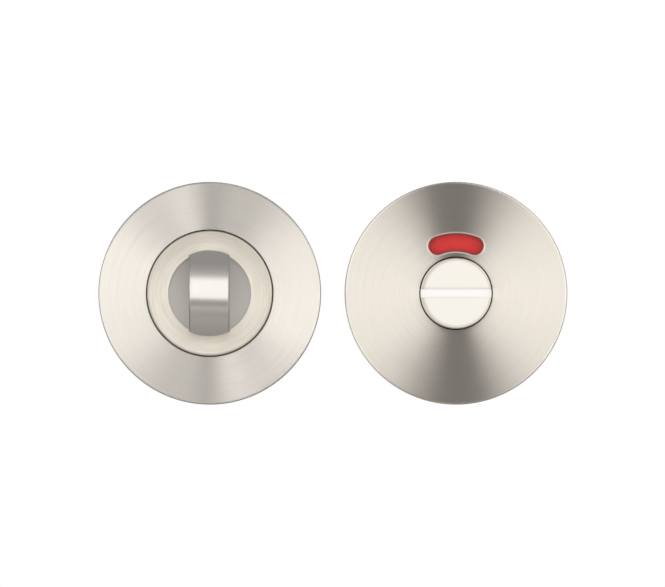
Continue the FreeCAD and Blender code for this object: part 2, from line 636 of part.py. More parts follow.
def coin_release():
    """The coin disc: slotted face, hub with two flats, journal with a square socket."""
    label = "coin_release"
    body = new_body(label, RELEASE_AXIS)
    section = new_sketch(body, f"{label}_section", "XZ_Plane")
    draw_outline(section, [
        ("0", SPIGOT_REAR),
        (SPIGOT_RADIUS, SPIGOT_REAR),
        (SPIGOT_RADIUS, SHOULDER),
        ("hub_diameter / 2", SHOULDER),
        ("hub_diameter / 2", CARRIER_FRONT),
        (COIN_RADIUS, CARRIER_FRONT),
        (COIN_RADIUS, COIN_FRONT),
        ("0", COIN_FRONT),
    ])
    turned = revolve(body, section, f"{label}_turned")
    soften(body, turned, f"{label}_edge", lambda edge: is_circle(edge, COIN_RADIUS) and
           at_level(edge, COIN_FRONT), "coin_edge_radius")
    flat_outlines = new_sketch(body, f"{label}_flat_outlines", "XY_Plane", out=CARRIER_FRONT)
    reach = "(hub_diameter / 2 + fit_clearance)"
    for side in ("", "-"):
        draw_outline(flat_outlines, [
            (f"-{reach}", f"{side}hub_flats / 2"),
            (reach, f"{side}hub_flats / 2"),
            (reach, f"{side}hub_diameter / 2"),
            (f"-{reach}", f"{side}hub_diameter / 2"),
        ])
    extrude(body, flat_outlines, f"{label}_flats", f"{CARRIER_FRONT} - {SHOULDER}", "Pocket")
    slot = new_sketch(body, f"{label}_slot_outline", "XY_Plane", out=COIN_FRONT)
    half_length, half_width = f"({COIN_RADIUS} + coin_edge_radius)", "(coin_slot_width / 2)"
    draw_outline(slot, [
        (f"-{half_length}", f"-{half_width}"),
        (half_length, f"-{half_width}"),
        (half_length, half_width),
        (f"-{half_length}", half_width),
    ])
    extrude(body, slot, f"{label}_slot", "coin_slot_depth", "Pocket")
    journal_details(body, label)


def indicator_carrier():
    """The disc that turns with the coin disc: keyed bore, rear collar, and a rib that meets the stop lug."""
    label = "indicator_carrier"
    body = new_body(label, RELEASE_AXIS)
    section = new_sketch(body, f"{label}_section", "XZ_Plane")
    draw_outline(section, [
        ("0", SHOULDER),
        ("carrier_collar_diameter / 2", SHOULDER),
        ("carrier_collar_diameter / 2", CARRIER_REAR),
        (CARRIER_RADIUS, CARRIER_REAR),
        (CARRIER_RADIUS, CARRIER_FRONT),
        ("0", CARRIER_FRONT),
    ])
    revolve(body, section, f"{label}_disc")
    rib_section = new_sketch(body, f"{label}_rib_section", "YZ_Plane")
    rib_rear, rib_root = "(plate_thickness + stop_clearance)", f"({CARRIER_REAR} + carrier_thickness / 2)"
    draw_outline(rib_section, [
        (f"-{STOP_INNER}", rib_rear),
        (f"-{STOP_OUTER}", rib_rear),
        (f"-{STOP_OUTER}", rib_root),
        (f"-{STOP_INNER}", rib_root),
    ])
    revolve(body, rib_section, f"{label}_rib", f"360 - 2 * {FREE_HALF_ANGLE}")
    bore = new_sketch(body, f"{label}_bore_outline", "XY_Plane", out=CARRIER_FRONT)
    radius = "(hub_diameter / 2 + fit_clearance)"
    flat = "(hub_flats / 2 + fit_clearance)"
    corner = f"sqrt({radius} ^ 2 - {flat} ^ 2)"
    draw_outline(bore, [
        (corner, flat),
        (f"-{corner}", flat, radius, 1),
        (f"-{corner}", f"-{flat}"),
        (corner, f"-{flat}", radius, 1),
    ])
    extrude(body, bore, f"{label}_bore", f"{CARRIER_FRONT} - {SHOULDER}", "Pocket")


def labels(label, plane):
    """Two coloured sectors on the carrier, opposite each other."""
    body = new_body(label, RELEASE_AXIS)
    outer = f"({CARRIER_RADIUS} - label_margin)"
    section = new_sketch(body, f"{label}_section", plane)
    draw_outline(section, [
        (LABEL_INNER, CARRIER_FRONT),
        (outer, CARRIER_FRONT),
        (outer, LABEL_FRONT),
        (LABEL_INNER, LABEL_FRONT),
    ])
    sector = revolve(body, section, f"{label}_sector", "label_angle")
    repeat_round(body, [sector], f"{label}_pair")


def window_lens():
    """The clear plate behind the window, of the window's own shape and a margin wider."""
    label = "window_lens"
    body = new_body(label, RELEASE_AXIS)
    half = "(window_width / 2 + lens_margin)"
    section = new_sketch(body, f"{label}_section", "YZ_Plane")
    draw_outline(section, [
        (f"({WINDOW_RADIUS} - {half})", LENS_REAR),
        (f"({WINDOW_RADIUS} + {half})", LENS_REAR),
        (f"({WINDOW_RADIUS} + {half})", COVER_CEILING),
        (f"({WINDOW_RADIUS} - {half})", COVER_CEILING),
    ])
    revolve(body, section, f"{label}_arc", "2 * window_half_angle")
    ends = new_sketch(body, f"{label}_end_circles", "XY_Plane", out=LENS_REAR)
    window_ends(ends, half)
    extrude(body, ends, f"{label}_ends", "lens_thickness")


def spindle():
    """The square bar through the door, its edges bevelled, pinned in the knob's journal."""
    label = "spindle"
    body = new_body(label)
    half = "(square_side / 2)"
    rear = f"({SPINDLE_FRONT} - spindle_length)"
    square = new_sketch(body, f"{label}_square", "XY_Plane", out=rear)
    draw_outline(square, [(f"-{half}", f"-{half}"), (half, f"-{half}"), (half, half), (f"-{half}", half)])
    bar = extrude(body, square, f"{label}_bar", "spindle_length")
    soften(body, bar, f"{label}_edges", lambda edge: True, "square_edge", "Chamfer")
    pin_hole(body, label, "fit_clearance")


def spindle_pin():
    """The cross pin that holds the spindle in the journal."""
    body = new_body("spindle_pin")
    circle = new_sketch(body, "spindle_pin_circle", "YZ_Plane")
    draw_circle(circle, "pin_diameter / 2")
    extrude(body, circle, "spindle_pin_rod", "spigot_diameter - 2 * pin_shortfall", both_ways=True)


def cross_recess(body, label, plane_shift, level):
    """A cross recess for a screwdriver, down into a screw head."""
    long, short = "(drive_length / 2)", "(drive_width / 2)"
    across, up = plane_shift
    outline = new_sketch(body, f"{label}_cross", "XY_Plane", across=across, out=level)
    tie(outline, "AttachmentOffset.Base.y", up)
    draw_outline(outline, [
        (short, short), (short, long), (f"-{short}", long), (f"-{short}", short),
        (f"-{long}", short), (f"-{long}", f"-{short}"), (f"-{short}", f"-{short}"), (f"-{short}", f"-{long}"),
        (short, f"-{long}"), (short, f"-{short}"), (long, f"-{short}"), (long, short),
    ])
    return extrude(body, outline, f"{label}_drive", "drive_depth", "Pocket")


def through_bolts():
    """Two pan head bolts through the plate, each with a short plain shank and a long thread."""
    label = "through_bolts"
    body = new_body(label)
    thread, radius, head = "(bolt_thread_diameter / 2)", "(bolt_diameter / 2)", "(bolt_head_diameter / 2)"
    shoulder, top = "(plate_thickness + bolt_head_height / 2)", "(plate_thickness + bolt_head_height)"
    dome = f"(({head} ^ 2 + (bolt_head_height / 2) ^ 2) / bolt_head_height)"
    section = new_sketch(body, f"{label}_section", "XZ_Plane", across="bolt_centres / 2")
    draw_outline(section, [
        ("0", "-bolt_reach"),
        (f"({thread} - bolt_point)", "-bolt_reach"),
        (thread, "(bolt_point - bolt_reach)"),
        (thread, "-(lug_length + bolt_shank_margin)"),
        (radius, "-(lug_length + bolt_shank_margin)"),
        (radius, "plate_thickness"),
        (head, "plate_thickness"),
        (head, shoulder, dome, 1),
        ("0", top),
    ])
    bolt = revolve(body, section, f"{label}_turned")
    drive = cross_recess(body, label, ("bolt_centres / 2", "0"), top)
    repeat_round(body, [bolt, drive], f"{label}_pair")


def wood_screws(label, across="0"):
    """Two countersunk wood screws, above and below the axis."""
    body = new_body(label, across)
    radius, head = "(screw_diameter / 2)", "(screw_head_diameter / 2)"
    section = new_sketch(body, f"{label}_section", "YZ_Plane", across="screw_centres / 2")
    draw_outline(section, [
        ("0", "-screw_reach"),
        (radius, "(screw_point - screw_reach)"),
        (radius, f"(plate_thickness - {head} + {radius})"),
        (head, "plate_thickness"),
        ("0", "plate_thickness"),
    ])
    screw = revolve(body, section, f"{label}_turned")
    drive = cross_recess(body, label, ("0", "screw_centres / 2"), "plate_thickness")
    repeat_round(body, [screw, drive], f"{label}_pair")


def sleeve_nuts():
    """Two female posts that take the through bolts, their heads let into the plate."""
    label = "sleeve_nuts"
    body = new_body(label, RELEASE_AXIS)
    bore = "(bolt_diameter / 2 + fit_clearance)"
    radius, head = "(sleeve_diameter / 2)", "(sleeve_head_diameter / 2)"
    bore_end = "(sleeve_bore_depth - sleeve_reach)"
    head_rear = "(plate_thickness - sleeve_head_height)"
    section = new_sketch(body, f"{label}_section", "XZ_Plane", across="bolt_centres / 2")
    draw_outline(section, [
        (bore, "-sleeve_reach"),
        (radius, "-sleeve_reach"),
        (radius, head_rear),
        (head, head_rear),
        (head, "plate_thickness"),
        ("0", "plate_thickness"),
        ("0", bore_end),
        (bore, bore_end),
    ])
    post = revolve(body, section, f"{label}_turned")
    repeat_round(body, [post], f"{label}_pair")


def check_document():
    """Stop if any object failed, any cut took nothing away or any piece has no sound shape."""
    for thing in doc.Objects:
        if {"Invalid", "Error"} & set(thing.State):
            raise RuntimeError(f"{thing.Label} failed: {thing.State}")
        if thing.TypeId in ("PartDesign::Pocket", "PartDesign::Groove", "PartDesign::Hole"):
            if thing.Shape.Volume > thing.BaseFeature.Shape.Volume - TOLERANCE:
                raise RuntimeError(f"{thing.Label} cuts nothing")
    pieces = [thing for thing in doc.Objects if thing.TypeId in ("PartDesign::Body", "Part::Feature")]
    for piece in pieces:
        if piece.Shape.isNull() or not piece.Shape.isValid() or not piece.Shape.Solids:
            raise RuntimeError(f"{piece.Label} has no valid shape")
    return pieces


rose_cover("turn_rose_cover", f"({KNOB_RADIUS} + knob_gap)")
turn_plate()
thumb_turn()
bush("turn_bush")
wave_washer("turn_wave_washer")
retaining_ring("turn_retaining_ring")
spindle()
spindle_pin()
through_bolts()
wood_screws("turn_wood_screws")

release_cover("release_rose_cover", RELEASE_AXIS)
release_plate()
coin_release()
indicator_carrier()
labels("red_labels", "YZ_Plane")
labels("green_labels", "XZ_Plane")
window_lens()
bush("release_bush", RELEASE_AXIS)
wave_washer("release_wave_washer", RELEASE_AXIS)
retaining_ring("release_retaining_ring", RELEASE_AXIS)
sleeve_nuts()
wood_screws("release_wood_screws", RELEASE_AXIS)

doc.recompute()
os.makedirs("parts", exist_ok=True)
for piece in check_document():
    piece.Shape.exportStep(os.path.join("parts", f"{piece.Label}.step"))
    print(f"{piece.Label}: {len(piece.Shape.Solids)} solid(s), {piece.Shape.Volume:.1f} cubic mm")
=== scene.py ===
"""The looks of a bathroom turn and indicator release set, dressed on its packed construction.

Lengths are metres. The door's face is y = 0, the fronts face -y and +z is up. The thumb turn's
axis is x = 0.
"""
import logging
import math
from collections.abc import Callable
from dataclasses import dataclass, field, replace
from enum import Enum, IntEnum

import bmesh
import bpy
from mathutils import Matrix, Vector


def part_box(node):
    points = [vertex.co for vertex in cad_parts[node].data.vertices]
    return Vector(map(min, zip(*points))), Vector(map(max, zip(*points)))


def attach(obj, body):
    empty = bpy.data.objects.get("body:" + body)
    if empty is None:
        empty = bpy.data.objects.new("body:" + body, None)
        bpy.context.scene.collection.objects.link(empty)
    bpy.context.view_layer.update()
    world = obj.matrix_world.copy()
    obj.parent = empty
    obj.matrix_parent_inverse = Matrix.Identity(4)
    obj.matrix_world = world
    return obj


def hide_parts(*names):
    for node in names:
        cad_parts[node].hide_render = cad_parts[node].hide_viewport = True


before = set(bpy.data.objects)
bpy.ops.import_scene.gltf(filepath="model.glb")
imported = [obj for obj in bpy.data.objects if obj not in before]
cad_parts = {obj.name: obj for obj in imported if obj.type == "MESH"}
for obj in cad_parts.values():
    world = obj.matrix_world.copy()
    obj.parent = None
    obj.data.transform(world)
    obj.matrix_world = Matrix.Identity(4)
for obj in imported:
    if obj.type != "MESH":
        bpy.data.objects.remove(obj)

Colour = tuple[float, float, float]
Span = tuple[float, float]
Node = bpy.types.Node
Socket = bpy.types.NodeSocket
Tree = bpy.types.NodeTree
Material = bpy.types.Material
Piece = bpy.types.Object
Face = bmesh.types.BMFace

LOG = logging.getLogger("scene")
MM = 0.001
WHITE: Colour = (1.0, 1.0, 1.0)
PICTURE_MIDDLE = 28.66 * MM
DOUBLES_WITHIN = 0.0005 * MM
SHARP_ANGLE = math.radians(25)
MARK_INPUTS = {"Vector": "Vector", "Spacing": "Float", "Run": "Float", "Strength": "Float"}
MARK_OUTPUTS = {"Tone": "Float", "Rough": "Float", "Height": "Float"}


class Slot(Enum):
    """The names of the record's material slots for the dressed copies."""

    ROSE = "satin_rose"
    KNOB = "satin_knob"
    COIN = "satin_coin"
    ZINC = "zinc_plated"


class Body(Enum):
    """The rigid bodies of the frame."""

    ROSES = "roses"
    KNOB = "knob"
    COIN = "coin"


class Lay(Enum):
    """Which way the brush marks run, with the axis that their tangents turn about."""

    ROUND = "Y"
    UPRIGHT = "X"


class CoverPart(IntEnum):
    """The parts of a rose cover, in the order of its finishes."""

    FRONT = 0
    RIM = 1
    INSIDE = 2
    CUT_EDGE = 3
    WINDOW_BEVEL = 4


class KnobPart(IntEnum):
    """The parts of the thumb turn, in the order of its finishes."""

    TURNED = 0
    CROWN = 1
    RECESS = 2
    GRIP_SIDE = 3


class CoinPart(IntEnum):
    """The parts of the coin release, in the order of its finishes."""

    TURNED = 0
    FACE = 1
    SLOT_FLOOR = 2


@dataclass(frozen=True)
class Noise:
    """The make-up of a noise texture."""

    scale: float = 1.0
    detail: float = 2.0
    roughness: float = 0.5


class Graph:
    """A node tree with short calls for its nodes and links."""

    def __init__(self, tree: Tree) -> None:
        """Take over a tree and empty it.

        Args:
            tree: the tree of a material, a world or a group.
        """
        self.tree = tree
        tree.nodes.clear()

    def node(self, kind: str, **settings: object) -> Node:
        """Add a node.

        Args:
            kind: the node's type name.
            settings: its properties.
        Returns:
            The new node.
        """
        made = self.tree.nodes.new(kind)
        for name, value in settings.items():
            setattr(made, name, value)
        return made

    def link(self, source: Socket, target: Socket) -> None:
        """Join an output to an input."""
        self.tree.links.new(source, target)

    def feed(self, source: object, target: Socket) -> None:
        """Set an input from an output or a plain value.

        Args:
            source: an output socket, a number, a colour or a vector.
            target: the input socket.
        """
        if isinstance(source, Socket):
            self.link(source, target)
        elif target.type == "RGBA":
            target.default_value = (*source, 1.0)
        else:
            target.default_value = source

    def fill(self, node: Node, **values: object) -> Node:
        """Set several inputs of a node.

        Args:
            node: the node.
            values: what its inputs get, by name with underscores for blanks.
        Returns:
            The same node.
        """
        for name, source in values.items():
            self.feed(source, node.inputs[name.replace("_", " ")])
        return node

    def place(self) -> Socket:
        """The object coordinates, in metres."""
        return self.node("ShaderNodeTexCoord").outputs["Object"]

    def sum(self, operation: str, *terms: object, clamp: bool = False) -> Socket:
        """A Math node.

        Args:
            operation: the node's operation.
            terms: its inputs, each a socket or a number.
            clamp: keep the result from 0 to 1.
        Returns:
            The node's output.
        """
        made = self.node("ShaderNodeMath", operation=operation, use_clamp=clamp)
        for term, target in zip(terms, made.inputs):
            self.feed(term, target)
        return made.outputs[0]

    def vector(self, operation: str, *terms: object, result: str = "Vector") -> Socket:
        """A Vector Math node.

        Args:
            operation: the node's operation.
            terms: its vector inputs, or a number last for a scale.
            result: the output's name.
        Returns:
            The node's output.
        """
        made = self.node("ShaderNodeVectorMath", operation=operation)
        targets = [s for s in made.inputs if s.name == "Vector"]
        if operation == "SCALE":
            targets = [targets[0], made.inputs["Scale"]]
        for term, target in zip(terms, targets):
            self.feed(term, target)
        return made.outputs[result]

    def parts(self, vector: Socket) -> Node:
        """Take a vector apart.

        Args:
            vector: the vector.
        Returns:
            The node that puts out its X, Y and Z.
        """
        made = self.node("ShaderNodeSeparateXYZ")
        self.link(vector, made.inputs[0])
        return made

    def noise(self, where: Socket, noise: Noise) -> Socket:
        """A noise value from 0 to 1.

        Args:
            where: the coordinates.
            noise: its make-up.
        Returns:
            The value.
        """
        made = self.node("ShaderNodeTexNoise")
        self.fill(made, Vector=where, Scale=noise.scale, Detail=noise.detail,
                  Roughness=noise.roughness)
        return made.outputs["Fac"]

    def range(self, value: Socket, given: Span = (0.0, 1.0), wanted: Span = (0.0, 1.0)) -> Socket:
        """A value carried from one range to another and held within it.

        Args:
            value: the value.
            given: the range that it comes in.
            wanted: the range that it goes to.
        Returns:
            The carried value.
        """
        made = self.node("ShaderNodeMapRange")
        self.fill(made, Value=value, From_Min=given[0], From_Max=given[1],
                  To_Min=wanted[0], To_Max=wanted[1])
        return made.outputs["Result"]

    def blend(self, share: Socket, first: Socket | Colour, second: Socket | Colour) -> Socket:
        """A colour between two colours.

        Args:
            share: the second colour's share.
            first: the colour at 0.
            second: the colour at 1.
        Returns:
            The mixed colour.
        """
        made = self.node("ShaderNodeMix", data_type="RGBA")
        self.feed(share, made.inputs["Factor"])
        for source, name in ((first, "A"), (second, "B")):
            target = next(s for s in made.inputs if s.name == name and s.type == "RGBA")
            self.feed(source, target)
        return next(s for s in made.outputs if s.type == "RGBA")

    def bump(self, height: Socket, strength: float, depth: float) -> Socket:
        """A normal that follows a fine relief.

        Args:
            height: the relief's height, from 0 to 1.
            strength: the share of the relief that shows.
            depth: the height in metres that 1 stands for.
        Returns:
            The normal.
        """
        made = self.node("ShaderNodeBump")
        self.fill(made, Strength=strength, Distance=depth, Height=height)
        return made.outputs["Normal"]

    def group(self, tree: Tree, **values: object) -> Node:
        """Place a node group.

        Args:
            tree: the group's tree.
            values: what its inputs get, by name.
        Returns:
            The group node.
        """
        return self.fill(self.node("ShaderNodeGroup", node_tree=tree), **values)

    def surface(self, share: Socket, first: Node, second: Node) -> None:
        """Give the material's surface a mix of two shaders.

        Args:
            share: the second shader's share.
            first: the shader at 0.
            second: the shader at 1.
        """
        mix = self.node("ShaderNodeMixShader")
        for source, target in zip((share, first.outputs[0], second.outputs[0]), mix.inputs):
            self.link(source, target)
        self.link(mix.outputs[0], self.tree.nodes["Material Output"].inputs["Surface"])


def new_group(name: str, inputs: dict[str, str],
              outputs: dict[str, str]) -> tuple[Graph, Node, Node]:
    """Start a shader node group with named sockets.

    Args:
        name: the group's name.
        inputs: socket names and kinds, such as Float or Vector.
        outputs: the same for what it puts out.
    Returns:
        The group's graph, its input node and its output node.
    """
    tree = bpy.data.node_groups.new(name, "ShaderNodeTree")
    graph = Graph(tree)
    for side, sockets in (("INPUT", inputs), ("OUTPUT", outputs)):
        for label, kind in sockets.items():
            tree.interface.new_socket(label, in_out=side, socket_type=f"NodeSocket{kind}")
    return graph, graph.node("NodeGroupInput"), graph.node("NodeGroupOutput")


@dataclass
class Effects:
    """The node groups that several finishes share, each built once."""

    fine: Noise = Noise(detail=3.0, roughness=0.65)
    broad: Noise = Noise(scale=0.34)
    fine_share: float = 0.65
    middle_tone: float = 0.5
    stretch: float = 60.0
    clouds: Noise = Noise(detail=3.0, roughness=0.55)
    grain: Noise = Noise(roughness=0.6)
    spread: Span = (0.3, 0.7)

    def __post_init__(self) -> None:
        """Build the groups."""
        self.marks = self._marks()
        self.laid_marks = {Lay.ROUND: self._round_marks(), Lay.UPRIGHT: self._upright_marks()}
        self.mottle = self._mottle()

    def _marks(self) -> Tree:
        """Brush marks in one direction: their tone, their roughness and their height.

        Returns:
            The group's tree.
        """
        graph, given, out = new_group("brush_marks", {"Vector": "Vector", "Strength": "Float"},
                                      MARK_OUTPUTS)
        fine = graph.noise(given.outputs["Vector"], self.fine)
        broad = graph.noise(given.outputs["Vector"], self.broad)
        both = graph.sum("ADD", graph.sum("MULTIPLY", fine, self.fine_share),
                         graph.sum("MULTIPLY", broad, 1.0 - self.fine_share))
        swing = graph.sum("MULTIPLY", graph.sum("SUBTRACT", both, self.middle_tone),
                          given.outputs["Strength"])
        graph.fill(out, Tone=graph.sum("ADD", swing, self.middle_tone, clamp=True),
                   Rough=graph.sum("SUBTRACT", self.middle_tone, swing, clamp=True), Height=fine)
        return graph.tree

    def _pass_marks(self, graph: Graph, arranged: Socket, given: Node, out: Node) -> Tree:
        """Place the marks on arranged coordinates inside another group.

        Args:
            graph: that group's graph.
            arranged: the coordinates, with the direction across the marks drawn out.
            given: its input node.
            out: its output node.
        Returns:
            That group's tree.
        """
        marks = graph.group(self.marks, Vector=arranged, Strength=given.outputs["Strength"])
        for name in MARK_OUTPUTS:
            graph.link(marks.outputs[name], out.inputs[name])
        return graph.tree

    def _round_marks(self) -> Tree:
        """Marks that run round an axis along y.

        Returns:
            The group's tree.
        """
        graph, given, out = new_group("round_marks", MARK_INPUTS, MARK_OUTPUTS)
        place = given.outputs["Vector"]
        flat = graph.vector("MULTIPLY", place, (1.0, 0.0, 1.0))
        radius = graph.vector("LENGTH", flat, result="Value")
        heading = graph.vector("SCALE", graph.vector("NORMALIZE", flat), given.outputs["Run"])
        rings = graph.sum("DIVIDE", graph.sum("ADD", radius, graph.parts(place).outputs["Y"]),
                          given.outputs["Spacing"])
        across = graph.fill(graph.node("ShaderNodeCombineXYZ"), Y=rings)
        arranged = graph.vector("ADD", heading, across.outputs[0])
        return self._pass_marks(graph, arranged, given, out)

    def _upright_marks(self) -> Tree:
        """Marks that run up and down.

        Returns:
            The group's tree.
        """
        graph, given, out = new_group("upright_marks", MARK_INPUTS, MARK_OUTPUTS)
        along = graph.sum("DIVIDE", given.outputs["Run"], self.stretch)
        shares = graph.fill(graph.node("ShaderNodeCombineXYZ"), X=1.0, Y=along, Z=along)
        drawn = graph.vector("MULTIPLY", given.outputs["Vector"], shares.outputs[0])
        arranged = graph.vector("SCALE", drawn,
                                graph.sum("DIVIDE", 1.0, given.outputs["Spacing"]))
        return self._pass_marks(graph, arranged, given, out)

    def _mottle(self) -> Tree:
        """Soft clouds and a fine grain, for castings, mouldings and plating.

        Returns:
            The group's tree.
        """
        graph, given, out = new_group(
            "mottle", {"Vector": "Vector", "Clouds": "Float", "Grain": "Float"},
            {"Cloud": "Float", "Grain": "Float"})
        place = given.outputs["Vector"]
        clouds = graph.noise(graph.vector("SCALE", place, given.outputs["Clouds"]), self.clouds)
        grain = graph.noise(graph.vector("SCALE", place, given.outputs["Grain"]), self.grain)
        graph.fill(out, Cloud=graph.range(clouds, self.spread), Grain=grain)
        return graph.tree

    def mottled(self, graph: Graph, clouds: float = 260.0, grain: float = 5200.0) -> Node:
        """Place the mottle in a material.

        Args:
            graph: the material's graph.
            clouds: the clouds' scale, per metre.
            grain: the grain's scale, per metre.
        Returns:
            The group node.
        """
        return graph.group(self.mottle, Vector=graph.place(), Clouds=clouds, Grain=grain)


EFFECTS = Effects()


def start_material(name: str) -> tuple[Material, Graph, Node]:
    """A material with one principled shader.

    Args:
        name: the material's name.
    Returns:
        The material, its graph and the shader node.
    """
    material = bpy.data.materials.new(name)
    material.use_nodes = True
    graph = Graph(material.node_tree)
    shader = graph.node("ShaderNodeBsdfPrincipled")
    output = graph.node("ShaderNodeOutputMaterial")
    graph.link(shader.outputs[0], output.inputs["Surface"])
    return material, graph, shader


@dataclass(frozen=True)
class BrushedMetal:
    """Satin metal with brush marks."""

    name: str
    light: Colour
    dark: Colour
    roughness: Span
    anisotropy: float
    lay: Lay = Lay.ROUND
    centre: float = 0.0
    strength: float = 1.0
    spacing: float = 0.09 * MM
    run: float = 2.2
    bump: float = 0.35
    relief: float = 0.004 * MM
    rotation: float = 0.25

    def build(self) -> Material:
        """Make the material.

        Returns:
            The finished material.
        """
        material, graph, shader = start_material(self.name)
        place = graph.vector("SUBTRACT", graph.place(), (self.centre, 0.0, 0.0))
        marks = graph.group(EFFECTS.laid_marks[self.lay], Vector=place, Spacing=self.spacing,
                            Run=self.run, Strength=self.strength)
        colour = graph.blend(marks.outputs["Tone"], self.dark, self.light)
        tangent = graph.node("ShaderNodeTangent", direction_type="RADIAL", axis=self.lay.value)
        graph.fill(shader, Base_Color=self.shaded(graph, place, colour),
                   Roughness=graph.range(marks.outputs["Rough"], wanted=self.roughness),
                   Normal=graph.bump(marks.outputs["Height"], self.bump, self.relief),
                   Tangent=tangent.outputs[0], Metallic=1.0, Anisotropic=self.anisotropy,
                   Anisotropic_Rotation=self.rotation)
        return material

    def shaded(self, graph: Graph, place: Socket, colour: Socket) -> Socket:
        """The colour as it is, for metal that is alike all over."""
        return colour


@dataclass(frozen=True)
class PaintedShadeMetal(BrushedMetal):
    """Brushed metal with painted shade towards a round edge and along a coin slot's upper lip."""

    edge: Span = (13.8 * MM, 14.7 * MM)
    edge_shift: float = 0.0
    edge_share: float = 0.55
    lip: Span = (0.8 * MM, 1.4 * MM)
    lip_shift: float = 0.2 * MM
    lip_share: float = 1.0

    def shaded(self, graph: Graph, place: Socket, colour: Socket) -> Socket:
        """The colour with its painted shade at the edge and along the lip.

        Args:
            graph: the material's graph.
            place: coordinates from the disc's axis.
            colour: the plain colour.
        Returns:
            The shaded colour.
        """
        flat = graph.vector("MULTIPLY", place, (1.0, 0.0, 1.0))
        shifted = graph.vector("SUBTRACT", flat, (self.edge_shift, 0.0, 0.0))
        out = graph.vector("LENGTH", shifted, result="Value")
        height = graph.parts(place).outputs["Z"]
        beside = graph.sum("ABSOLUTE", graph.sum("SUBTRACT", height, self.lip_shift))
        # Painted shade: the colour darkens towards the edge, off the axis by edge_shift, and
        # beside the slot's upper lip.
        share = graph.sum("MULTIPLY", graph.range(out, self.edge, (1.0, self.edge_share)),
                          graph.range(beside, self.lip, (self.lip_share, 1.0)))
        return graph.vector("SCALE", colour, share)


@dataclass(frozen=True)
class Mottled:
    """A cast, moulded or plated surface with soft clouds and a fine grain."""

    name: str
    first: Colour
    second: Colour
    roughness: Span
    metallic: float = 0.0
    bump: float = 0.5
    relief: float = 0.01 * MM

    def build(self) -> Material:
        """Make the material.

        Returns:
            The finished material.
        """
        material, graph, shader = start_material(self.name)
        mottle = EFFECTS.mottled(graph)
        cloud, grain = mottle.outputs["Cloud"], mottle.outputs["Grain"]
        graph.fill(shader, Base_Color=graph.blend(cloud, self.first, self.second),
                   Roughness=graph.range(grain, EFFECTS.spread, self.roughness),
                   Normal=graph.bump(grain, self.bump, self.relief), Metallic=self.metallic)
        return material


@dataclass(frozen=True)
class WindowBevel:
    """Bright metal with a painted pink reflection of the red label, turning dark with painted
    shade where it meets the lens.
    """

    name: str
    bright: Colour
    shade_at_lens: Colour
    roughness: Span
    turn: Span = (-7.74 * MM, -7.66 * MM)
    metallic: float = 0.75

    def build(self) -> Material:
        """Make the material.

        Returns:
            The finished material.
        """
        material, graph, shader = start_material(self.name)
        deep = graph.range(graph.parts(graph.place()).outputs["Y"], self.turn)
        grain = EFFECTS.mottled(graph).outputs["Grain"]
        # Painted shade: the bevel turns dark over its deeper part, next to the lens.
        graph.fill(shader, Base_Color=graph.blend(deep, self.bright, self.shade_at_lens),
                   Roughness=graph.range(grain, EFFECTS.spread, self.roughness),
                   Metallic=self.metallic)
        return material


@dataclass(frozen=True)
class ClearPlastic:
    """A clear plate that lets the light through to what lies behind it."""

    name: str
    tint: Colour
    index: float
    roughness: Span = (0.02, 0.06)
    clouds: float = 180.0
    grain: float = 3000.0

    def build(self) -> Material:
        """Make the material.

        Returns:
            The finished material.
        """
        material, graph, shader = start_material(self.name)
        cloud = EFFECTS.mottled(graph, self.clouds, self.grain).outputs["Cloud"]
        graph.fill(shader, Roughness=graph.range(cloud, wanted=self.roughness),
                   Base_Color=self.tint, Transmission_Weight=1.0, IOR=self.index)
        clear = graph.fill(graph.node("ShaderNodeBsdfTransparent"), Color=self.tint)
        path = graph.node("ShaderNodeLightPath")
        graph.surface(path.outputs["Is Shadow Ray"], shader, clear)
        return material


